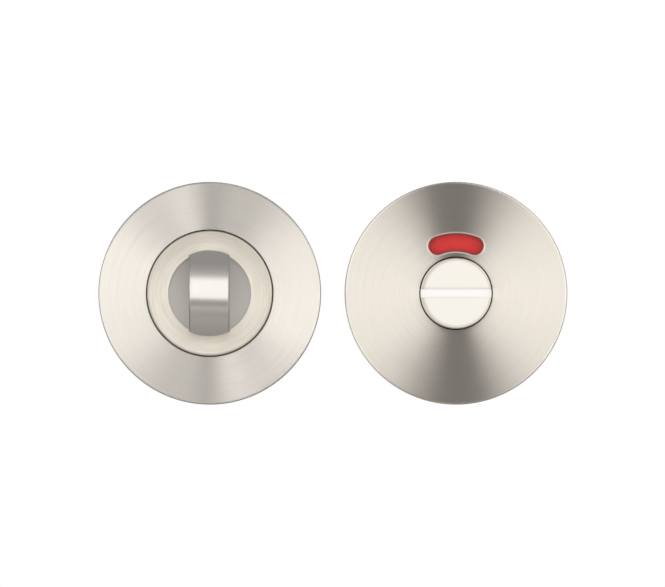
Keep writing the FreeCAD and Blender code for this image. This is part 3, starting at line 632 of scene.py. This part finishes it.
class Finishes:
    """Every material of the set, built once."""

    def __init__(self) -> None:
        """Build the materials."""
        release_axis = sum(corner.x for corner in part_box("release_rose_cover")) / 2
        self.turn_rose = BrushedMetal(
            "turn_rose_brushed", (0.797, 0.764, 0.716), (0.662, 0.632, 0.590), (0.30, 0.40),
            anisotropy=1.0, strength=1.7).build()
        self.release_rose = BrushedMetal(
            "release_rose_brushed", (0.82, 0.777, 0.710), (0.68, 0.640, 0.585), (0.30, 0.40),
            anisotropy=1.0, strength=1.7, centre=release_axis).build()
        # The rim is a darker copy of the rose's brushed metal: painted shade along the cover's
        # rounded edge and side.
        rim = BrushedMetal(
            "turn_rim_brushed", (0.60, 0.57, 0.53), (0.50, 0.475, 0.44), (0.34, 0.46),
            anisotropy=0.5)
        self.turn_rim = rim.build()
        self.release_rim = replace(rim, name="release_rim_brushed", centre=release_axis).build()
        self.pressed = Mottled(
            "pressed_sheet", (0.52, 0.505, 0.48), (0.44, 0.43, 0.41), (0.40, 0.55),
            metallic=1.0).build()
        self.cut_edge = Mottled(
            "cut_edge", (0.80, 0.755, 0.70), (0.72, 0.68, 0.62), (0.42, 0.55),
            metallic=1.0).build()
        # The window bevel: pale with a painted pink reflection of the red label, and painted shade
        # at its foot by the lens.
        self.window_bevel = WindowBevel(
            "window_bevel", (0.90, 0.77, 0.74), (0.26, 0.15, 0.13), (0.38, 0.48)).build()
        # The knob ring darkens towards its outer edge: painted shade where the edge rounds off
        # towards the gap.
        self.knob_ring = PaintedShadeMetal(
            "knob_ring_turned", (0.93, 0.885, 0.790), (0.76, 0.722, 0.642), (0.48, 0.60),
            anisotropy=0.3, strength=2.4).build()
        self.recess = BrushedMetal(
            "recess_satin", (0.71, 0.686, 0.662), (0.63, 0.608, 0.586), (0.48, 0.58),
            anisotropy=0.0).build()
        self.knob_grip = BrushedMetal(
            "knob_grip_brushed", (0.752, 0.726, 0.690), (0.657, 0.633, 0.610), (0.30, 0.37),
            anisotropy=1.0, lay=Lay.UPRIGHT, strength=1.4).build()
        # The grip's sides are a darker copy of the grip's metal: painted shade on its side faces
        # and edge rounds.
        self.grip_side = BrushedMetal(
            "knob_grip_side", (0.46, 0.44, 0.42), (0.38, 0.365, 0.35), (0.40, 0.50),
            anisotropy=0.3, lay=Lay.UPRIGHT).build()
        # The coin face carries painted shade: darker towards its edge, more on the left, and a
        # darker band along the slot's upper lip.
        self.coin_face = PaintedShadeMetal(
            "coin_face_brushed", (0.838, 0.813, 0.759), (0.788, 0.763, 0.711), (0.31, 0.36),
            anisotropy=1.0, lay=Lay.UPRIGHT, centre=release_axis, edge=(7.3 * MM, 8.4 * MM),
            edge_shift=0.2 * MM, edge_share=0.50, lip_share=0.82).build()
        # The slot floor is a lighter copy of the coin face's metal: a painted highlight on the
        # floor of the slot.
        self.slot_floor = BrushedMetal(
            "coin_slot_milled", (0.895, 0.885, 0.862), (0.85, 0.84, 0.82), (0.30, 0.36),
            anisotropy=1.0, lay=Lay.UPRIGHT, centre=release_axis).build()
        self.coin_turned = BrushedMetal(
            "coin_turned", (0.56, 0.50, 0.43), (0.49, 0.437, 0.376), (0.28, 0.40),
            anisotropy=0.6, centre=release_axis).build()
        self.cast = Mottled(
            "cast_zinc", (0.50, 0.50, 0.51), (0.40, 0.40, 0.415), (0.42, 0.58),
            metallic=0.9, relief=0.03 * MM).build()
        self.nylon = Mottled(
            "natural_nylon", (0.82, 0.80, 0.73), (0.77, 0.745, 0.67), (0.42, 0.55)).build()
        self.spring = Mottled(
            "spring_steel_dark", (0.24, 0.235, 0.235), (0.17, 0.165, 0.17), (0.28, 0.42),
            metallic=1.0).build()
        self.zinc = Mottled(
            "zinc_plate_bright", (0.70, 0.71, 0.74), (0.60, 0.615, 0.66), (0.26, 0.36),
            metallic=1.0, relief=0.004 * MM).build()
        self.carrier = Mottled(
            "carrier_black", (0.020, 0.020, 0.022), (0.028, 0.028, 0.030), (0.45, 0.6)).build()
        self.red = Mottled(
            "label_red", (0.67, 0.011, 0.008), (0.72, 0.014, 0.010), (0.45, 0.55),
            relief=0.004 * MM).build()
        self.green = Mottled(
            "label_green", (0.030, 0.36, 0.10), (0.036, 0.40, 0.115), (0.45, 0.55),
            relief=0.004 * MM).build()
        self.lens = ClearPlastic("lens_clear", (0.97, 0.97, 0.97), 1.49).build()


def paint(node: str, material: Material) -> None:
    """Give one node of the frame its material.

    Args:
        node: the node's name.
        material: the finish.
    """
    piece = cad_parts[node]
    for place in piece.material_slots:
        place.material = material
    LOG.info("%s: %s", node, material.name)


def merged_copy(node: str) -> bmesh.types.BMesh:
    """Copy a node's mesh, merge its doubles and work out its normals again.

    Args:
        node: the node.
    Returns:
        The copied shape.
    """
    shape = bmesh.new()
    shape.from_mesh(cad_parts[node].data)
    bmesh.ops.remove_doubles(shape, verts=shape.verts, dist=DOUBLES_WITHIN)
    bmesh.ops.recalc_face_normals(shape, faces=shape.faces)
    return shape


def finished(shape: bmesh.types.BMesh, name: str, node: str, body: Body, slot: Slot,
             finishes: tuple[Material, ...], part_of: Callable[[Face], int]) -> Piece:
    """Turn a shape into a piece that takes a node's place.

    Args:
        shape: the shape, which is used up.
        name: the new piece's name.
        node: the node that it stands for.
        body: the body that it rides on.
        slot: not used.
        finishes: the materials.
        part_of: tells from a face which of them it takes.
    Returns:
        The new piece.
    """
    for face in shape.faces:
        face.smooth = True
        face.material_index = part_of(face)
    for edge in shape.edges:
        edge.smooth = len(edge.link_faces) == 2 and edge.calc_face_angle(0.0) < SHARP_ANGLE
    mesh = bpy.data.meshes.new(name)
    shape.to_mesh(mesh)
    shape.free()
    for material in finishes:
        mesh.materials.append(material)
    piece = bpy.data.objects.new(name, mesh)
    bpy.context.scene.collection.objects.link(piece)
    level = piece.modifiers.new("level_faces", "WEIGHTED_NORMAL")
    level.keep_sharp = True
    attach(piece, body.value)
    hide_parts(node)
    LOG.info("%s: %d faces", name, len(mesh.polygons))
    return piece


@dataclass
class RoseCover:
    """A pressed cover: brushed front, rim, plain inside and the cut edges of its openings."""

    node: str
    finishes: tuple[Material, ...]
    window_beyond: float = 16.0 * MM
    openings_within: float = 16.0 * MM
    wall_inside: float = 24.8 * MM
    front: float = -8.0 * MM
    sheet: float = 1.2 * MM
    margin: float = 0.01 * MM
    facing: float = -0.80
    facing_at_openings: float = -0.97
    axis: float = field(init=False)

    def __post_init__(self) -> None:
        """Find the cover's axis."""
        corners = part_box(self.node)
        self.axis = (corners[0].x + corners[1].x) / 2

    def dress(self) -> Piece:
        """Make the dressed piece.

        Returns:
            The piece that stands for the node.
        """
        return finished(merged_copy(self.node), f"{self.node}_finished", self.node, Body.ROSES,
                        Slot.ROSE, self.finishes, self.part_of)

    def part_of(self, face: Face) -> CoverPart:
        """Tell which part of the cover a face belongs to.

        Args:
            face: the face.
        Returns:
            The part.
        """
        middle = face.calc_center_median()
        out = Vector((middle.x - self.axis, middle.z)).length
        at_openings = out < self.openings_within
        if face.normal.y < (self.facing_at_openings if at_openings else self.facing):
            return CoverPart.FRONT
        if at_openings and middle.y < self.front + self.sheet - self.margin:
            return CoverPart.WINDOW_BEVEL if out > self.window_beyond else CoverPart.CUT_EDGE
        return CoverPart.INSIDE if out < self.wall_inside else CoverPart.RIM


@dataclass(frozen=True)
class Thread:
    """A screw thread about an axis along y: a core and one ridge wound round it."""

    core: float
    crest: float
    pitch: float
    start: float
    end: float
    point: float = 0.0
    point_share: float = 1.0
    flat: float = 0.14
    steps: int = 24
    core_sides: int = 32
    sunk: float = 0.03 * MM

    def build(self) -> bpy.types.Mesh:
        """Make the thread about the y axis.

        Returns:
            Its mesh.
        """
        made = bmesh.new()
        if self.core < self.crest:
            self._core(made)
        self._ridge(made)
        self._point(made)
        mesh = bpy.data.meshes.new("thread")
        made.to_mesh(mesh)
        made.free()
        return mesh

    def _core(self, made: bmesh.types.BMesh) -> None:
        """Add the core, in two lengths where it ends in a point.

        Args:
            made: the thread so far.
        """
        knee = self.end - self.point
        for low, high in ((self.start, knee), (knee, self.end)):
            if high - low > self.sunk:
                lying = Matrix.Rotation(math.radians(-90), 4, "X")
                bmesh.ops.create_cone(
                    made, cap_ends=True, segments=self.core_sides, radius1=self.core,
                    radius2=self.core, depth=high - low,
                    matrix=Matrix.Translation((0.0, (low + high) / 2, 0.0)) @ lying)

    def _ridge(self, made: bmesh.types.BMesh) -> None:
        """Add the ridge: its cross-section wound up with the thread's pitch.

        Args:
            made: the thread so far.
        """
        root = self.core + (self.sunk if self.core > self.crest else -self.sunk)
        corners = ((root, 0.0), (self.crest, (1 - self.flat) / 2),
                   (self.crest, (1 + self.flat) / 2), (root, 1.0))
        section = made.faces.new([made.verts.new((out, self.start + share * self.pitch, 0.0))
                                  for out, share in corners])
        steps = int(((self.end - self.start) / self.pitch - 1) * self.steps)
        bmesh.ops.spin(made, geom=[section, *section.edges, *section.verts], cent=(0, 0, 0),
                       axis=(0, 1, 0), dvec=(0, self.pitch / self.steps, 0),
                       angle=math.tau * steps / self.steps, steps=steps, use_merge=False)

    def _point(self, made: bmesh.types.BMesh) -> None:
        """Draw the end in towards the axis.

        Args:
            made: the thread so far.
        """
        for vert in made.verts:
            along = vert.co.y - (self.end - self.point)
            if self.point and along > 0:
                share = 1 - (1 - self.point_share) * along / self.point
                vert.co = (vert.co.x * share, vert.co.y, vert.co.z * share)


@dataclass
class Fasteners:
    """Bolts, posts and wood screws with their threads."""

    finish: Material
    bolt_thread: Thread = Thread(
        core=1.52 * MM, crest=1.93 * MM, pitch=0.7 * MM, start=3.52 * MM, end=40.0 * MM,
        point=0.5 * MM, point_share=0.75)
    screw_thread: Thread = Thread(
        core=1.10 * MM, crest=1.74 * MM, pitch=1.4 * MM, start=2.0 * MM, end=22.0 * MM,
        point=5.0 * MM, point_share=0.06, flat=0.06)
    bore_thread: Thread = Thread(
        core=2.03 * MM, crest=1.70 * MM, pitch=0.7 * MM, start=4.1 * MM, end=25.9 * MM)
    trim: float = 0.04 * MM

    def dress(self) -> None:
        """Make every threaded piece."""
        for thread, cut_off, nodes in (
                (self.bolt_thread, True, ("through_bolts",)),
                (self.screw_thread, True, ("turn_wood_screws", "release_wood_screws")),
                (self.bore_thread, False, ("sleeve_nuts",))):
            wound = thread.build()
            for node in nodes:
                self.threaded(node, wound, thread.start + self.trim if cut_off else None)
            bpy.data.meshes.remove(wound)

    def threaded(self, node: str, thread: bpy.types.Mesh, level: float | None) -> Piece:
        """A node's two pieces with their plain shafts or bores threaded.

        Args:
            node: the node that the new piece stands for.
            thread: the thread's mesh.
            level: where a plain shaft is cut off for its thread, or None for a bore.
        Returns:
            The new piece.
        """
        shape = merged_copy(node)
        if level is not None:
            cut = bmesh.ops.bisect_plane(
                shape, geom=[*shape.verts, *shape.edges, *shape.faces], dist=DOUBLES_WITHIN,
                plane_co=(0, level, 0), plane_no=(0, 1, 0), clear_outer=True)
            rim = [part for part in cut["geom_cut"] if isinstance(part, bmesh.types.BMEdge)]
            bmesh.ops.edgeloop_fill(shape, edges=rim)
        low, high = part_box(node)
        middle = (low + high) / 2
        width, height = high.x - low.x, high.z - low.z
        reach = abs(width - height) / 2
        along = Vector((1, 0, 0)) if width > height else Vector((0, 0, 1))
        for side in (-1, 1):
            centre = middle + along * reach * side
            placed = thread.copy()
            placed.transform(Matrix.Translation((centre.x, 0.0, centre.z)))
            shape.from_mesh(placed)
            bpy.data.meshes.remove(placed)
        bmesh.ops.recalc_face_normals(shape, faces=shape.faces)
        return finished(shape, f"{node}_threaded", node, Body.ROSES, Slot.ZINC, (self.finish,),
                        lambda face: 0)


@dataclass
class TurnHalf:
    """The rose with the thumb turn."""

    finishes: Finishes
    grip_half_width: float = 4.7 * MM
    grip_reach: float = 10.05 * MM
    recess_radius: float = 9.7 * MM
    recess_top: float = -8.3 * MM
    hub_front: float = -6.1 * MM
    side_tilt: float = 0.25
    margin: float = 0.01 * MM

    def dress(self) -> tuple[Piece, Piece]:
        """Give every piece of this half its finish.

        Returns:
            The dressed cover and the dressed thumb turn.
        """
        for node, material in {
            "turn_base_plate": self.finishes.cast,
            "turn_bush": self.finishes.nylon,
            "turn_wave_washer": self.finishes.spring,
            "turn_retaining_ring": self.finishes.spring,
            "spindle": self.finishes.zinc,
            "spindle_pin": self.finishes.zinc,
        }.items():
            paint(node, material)
        cover = RoseCover("turn_rose_cover", (self.finishes.turn_rose, self.finishes.turn_rim,
                                              self.finishes.pressed, self.finishes.cut_edge))
        return cover.dress(), self.knob()

    def knob(self) -> Piece:
        """The thumb turn with its grip brushed upright and the rest turned.

        Returns:
            The piece that stands for the node.
        """
        return finished(merged_copy("thumb_turn"), "thumb_turn_finished", "thumb_turn", Body.KNOB,
                        Slot.KNOB, (self.finishes.knob_ring, self.finishes.knob_grip,
                                    self.finishes.recess, self.finishes.grip_side),
                        self.part_of_knob)

    def part_of_knob(self, face: Face) -> KnobPart:
        """Tell which part of the thumb turn a face belongs to.

        Args:
            face: the face.
        Returns:
            The part.
        """
        middle = face.calc_center_median()
        out = Vector((middle.x, middle.z)).length
        if middle.y > self.hub_front or out > self.grip_reach + self.margin:
            return KnobPart.TURNED
        if abs(middle.x) < self.grip_half_width + self.margin:
            return KnobPart.CROWN if abs(face.normal.x) < self.side_tilt else KnobPart.GRIP_SIDE
        if out < self.recess_radius + self.margin and middle.y > self.recess_top:
            return KnobPart.RECESS
        return KnobPart.TURNED


@dataclass
class ReleaseHalf:
    """The rose with the coin release and its indicator."""

    finishes: Finishes
    window_beyond: float = 9.5 * MM
    coin_front: float = -9.0 * MM
    slot_floor: float = -7.4 * MM
    coin_facing: float = -0.98
    margin: float = 0.05 * MM

    def dress(self) -> None:
        """Give every piece of this half its finish."""
        for node, material in {
            "release_base_plate": self.finishes.cast,
            "release_bush": self.finishes.nylon,
            "release_wave_washer": self.finishes.spring,
            "release_retaining_ring": self.finishes.spring,
            "indicator_carrier": self.finishes.carrier,
            "red_labels": self.finishes.red,
            "green_labels": self.finishes.green,
            "window_lens": self.finishes.lens,
        }.items():
            paint(node, material)
        cover = RoseCover("release_rose_cover",
                          (self.finishes.release_rose, self.finishes.release_rim,
                           self.finishes.pressed, self.finishes.cut_edge,
                           self.finishes.window_bevel), self.window_beyond)
        cover.dress()
        self.coin()

    def coin(self) -> Piece:
        """The coin disc with its face brushed upright, its slot milled and its edge turned.

        Returns:
            The piece that stands for the node.
        """
        return finished(merged_copy("coin_release"), "coin_release_finished", "coin_release",
                        Body.COIN, Slot.COIN, (self.finishes.coin_turned, self.finishes.coin_face,
                                               self.finishes.slot_floor), self.part_of_coin)

    def part_of_coin(self, face: Face) -> CoinPart:
        """Tell which part of the coin release a face belongs to.

        Args:
            face: the face.
        Returns:
            The part.
        """
        level = face.calc_center_median().y
        if face.normal.y > self.coin_facing or level > self.slot_floor + self.margin:
            return CoinPart.TURNED
        return CoinPart.FACE if level < self.coin_front + self.margin else CoinPart.SLOT_FLOOR


@dataclass(frozen=True)
class Softbox:
    """An upright rectangular soft light.

    Its edges are angles in degrees, seen from the point x = centre on the door's face: across
    from the camera towards the side, and rise from the level upwards.
    """

    name: str
    across: Span
    rise: Span
    radiance: float
    centre: float = -PICTURE_MIDDLE
    roll: float = 0.0
    distance: float = 1.5
    tint: Colour = (1.0, 0.985, 0.965)

    def build(self, side: int) -> Piece:
        """Place the light on one side of the camera.

        Args:
            side: -1 for left and 1 for right.
        Returns:
            The light.
        """
        inner, outer = self.across
        turn = math.radians((inner + outer) / 2)
        half_width = math.radians((outer - inner) / 2)
        data = bpy.data.lights.new(f"{self.name}_{'left' if side < 0 else 'right'}", "AREA")
        data.shape = "RECTANGLE"
        reach = self.distance / math.cos(half_width)
        low, high = (reach * math.tan(math.radians(angle)) for angle in self.rise)
        data.size = 2 * self.distance * math.tan(half_width)
        data.size_y = high - low
        data.energy = self.radiance * math.pi * data.size * data.size_y
        data.color = self.tint
        lamp = bpy.data.objects.new(data.name, data)
        toward = Vector((side * math.sin(turn), -math.cos(turn), 0.0))
        upright = Matrix.Translation(toward * self.distance + Vector((0.0, 0.0, (low + high) / 2)))
        facing = toward.to_track_quat("Z", "Y").to_matrix().to_4x4()
        rolled = Matrix.Rotation(math.radians(self.roll), 4, "Y")
        lamp.matrix_world = Matrix.Translation((self.centre, 0.0, 0.0)) @ rolled @ upright @ facing
        lamp.visible_camera = False
        bpy.context.scene.collection.objects.link(lamp)
        return lamp


@dataclass(frozen=True)
class PaleFloor:
    """A plain floor below the object, which glows pale where the camera sees it."""

    level: float = -1.3
    half_width: float = 6.0
    first: Colour = (0.86, 0.86, 0.855)
    second: Colour = (0.88, 0.88, 0.875)
    clouds: float = 3.0
    grain: float = 60.0
    roughness: float = 0.9
    specular: float = 0.1
    glow: float = 0.75
    unseen: Colour = (0.5, 0.49, 0.48)

    def build(self) -> None:
        """Lay the floor."""
        shape = bmesh.new()
        bmesh.ops.create_grid(shape, x_segments=1, y_segments=1, size=self.half_width,
                              matrix=Matrix.Translation((0, 0, self.level)))
        mesh = bpy.data.meshes.new("floor")
        shape.to_mesh(mesh)
        shape.free()
        mesh.materials.append(self.material())
        floor = bpy.data.objects.new("floor", mesh)
        bpy.context.scene.collection.objects.link(floor)

    def material(self) -> Material:
        """Make the floor's material.

        Returns:
            The finished material.
        """
        material, graph, shader = start_material("pale_floor")
        cloud = EFFECTS.mottled(graph, self.clouds, self.grain).outputs["Cloud"]
        graph.fill(shader, Base_Color=graph.blend(cloud, self.first, self.second),
                   Roughness=self.roughness, Specular_IOR_Level=self.specular)
        glow = graph.fill(graph.node("ShaderNodeEmission"), Strength=self.glow)
        seen = graph.node("ShaderNodeAddShader")
        graph.link(shader.outputs[0], seen.inputs[0])
        graph.link(glow.outputs[0], seen.inputs[1])
        unseen = graph.fill(graph.node("ShaderNodeBsdfDiffuse"), Color=self.unseen)
        path = graph.node("ShaderNodeLightPath")
        graph.surface(path.outputs["Is Camera Ray"], unseen, seen)
        return material


@dataclass
class Studio:
    """Camera, softboxes, floor and world."""

    cover: Piece
    knob: Piece
    width: float = 155.2 * MM
    look_at: tuple[float, float, float] = (PICTURE_MIDDLE, -8.0 * MM, -0.05 * MM)
    distance: float = 1.5
    sensor: float = 36.0
    clip_end: float = 100.0
    box: Softbox = Softbox("softbox", (13.0, 80.0), (-34.0, 48.0), 1.60, PICTURE_MIDDLE)
    cover_left: Softbox = Softbox("cover_box", (13.0, 80.0), (-27.0, 21.0), 1.28, distance=1.55)
    cover_right: Softbox = Softbox("cover_box", (13.0, 80.0), (-22.0, 26.0), 1.28, distance=1.55)
    strip: Softbox = Softbox("strip", (3.0, 13.0), (-38.0, 38.0), 1.00)
    slant_left: Softbox = Softbox(
        "slant", (0.0, 9.0), (0.0, 36.0), 0.74, roll=-5.0, distance=1.6)
    slant_right: Softbox = Softbox(
        "slant", (0.0, 9.0), (-36.0, 0.0), 0.82, roll=-5.0, distance=1.6)
    knob_left: Softbox = Softbox("knob_box", (0.0, 80.0), (-9.6, 26.5), 0.98)
    knob_right: Softbox = Softbox("knob_box", (0.0, 80.0), (-9.6, 26.5), 1.12)
    knob_fill: Softbox = Softbox("knob_fill", (0.0, 80.0), (-45.0, 42.0), 0.24, distance=1.7)
    knob_low: Softbox = Softbox("knob_low", (0.0, 80.0), (-72.0, -24.0), 1.00, distance=1.8)
    floor: PaleFloor = PaleFloor()
    tint: Colour = (1.0, 0.985, 0.97)
    room: float = 0.42
    ahead: float = 0.16
    ahead_share: Span = (0.55, 0.88)
    behind_share: Span = (0.80, 0.92)

    def build(self) -> None:
        """Set up everything round the object."""
        self.camera()
        for side, on_cover, on_knob in (
                (-1, (self.cover_left, self.strip, self.slant_left),
                 (self.knob_left, self.knob_fill)),
                (1, (self.cover_right, self.strip, self.slant_right),
                 (self.knob_right, self.knob_fill, self.knob_low))):
            self.light_only(self.box.build(side), (self.cover, self.knob), "EXCLUDE")
            for lamp in on_cover:
                self.light_only(lamp.build(side), (self.cover,), "INCLUDE")
            for lamp in on_knob:
                self.light_only(lamp.build(side), (self.knob,), "INCLUDE")
        self.floor.build()
        self.world()
        bpy.context.scene.view_settings.view_transform = "Standard"

    @staticmethod
    def light_only(lamp: Piece, pieces: tuple[Piece, ...], state: str) -> None:
        """Tie a light to some pieces or keep it off them.

        Args:
            lamp: the light.
            pieces: the pieces.
            state: INCLUDE to light nothing else, EXCLUDE to light everything else.
        """
        receivers = bpy.data.collections.new(f"{lamp.name}_receivers")
        for piece in pieces:
            receivers.objects.link(piece)
        for entry in receivers.collection_objects:
            entry.light_linking.link_state = state
        lamp.light_linking.receiver_collection = receivers

    def camera(self) -> None:
        """Place a long lens square in front of both roses."""
        data = bpy.data.cameras.new("camera")
        data.sensor_width = self.sensor
        data.lens = self.sensor * (self.distance + self.look_at[1]) / self.width
        data.clip_end = self.clip_end
        camera = bpy.data.objects.new("camera", data)
        camera.location = (self.look_at[0], -self.distance, self.look_at[2])
        camera.rotation_euler = (math.radians(90), 0, 0)
        bpy.context.scene.collection.objects.link(camera)
        bpy.context.scene.camera = camera

    def world(self) -> None:
        """Make it white behind the object and a dim even room elsewhere."""
        world = bpy.data.worlds.new("studio")
        bpy.context.scene.world = world
        world.use_nodes = True
        graph = Graph(world.node_tree)
        depth = graph.parts(graph.node("ShaderNodeTexCoord").outputs["Generated"]).outputs["Y"]
        behind = graph.range(depth, self.behind_share)
        ahead = graph.range(graph.sum("MULTIPLY", depth, -1.0), self.ahead_share)
        path = graph.node("ShaderNodeLightPath")
        sharp = graph.sum("MAXIMUM", path.outputs["Is Glossy Ray"],
                          path.outputs["Is Transmission Ray"])
        dim = graph.blend(ahead, *(tuple(level * tint for tint in self.tint)
                                   for level in (self.room, self.ahead)))
        seen = graph.blend(graph.sum("MULTIPLY", behind, sharp), dim, WHITE)
        background = graph.fill(graph.node("ShaderNodeBackground"),
                                Color=graph.blend(path.outputs["Is Camera Ray"], seen, WHITE))
        output = graph.node("ShaderNodeOutputWorld")
        graph.link(background.outputs[0], output.inputs["Surface"])


def main() -> None:
    """Dress both halves and set up the studio."""
    logging.basicConfig(level=logging.INFO, format="%(message)s")
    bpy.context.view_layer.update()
    finishes = Finishes()
    cover, knob = TurnHalf(finishes).dress()
    ReleaseHalf(finishes).dress()
    Fasteners(finishes.zinc).dress()
    Studio(cover, knob).build()


if __name__ == "__main__":
    main()
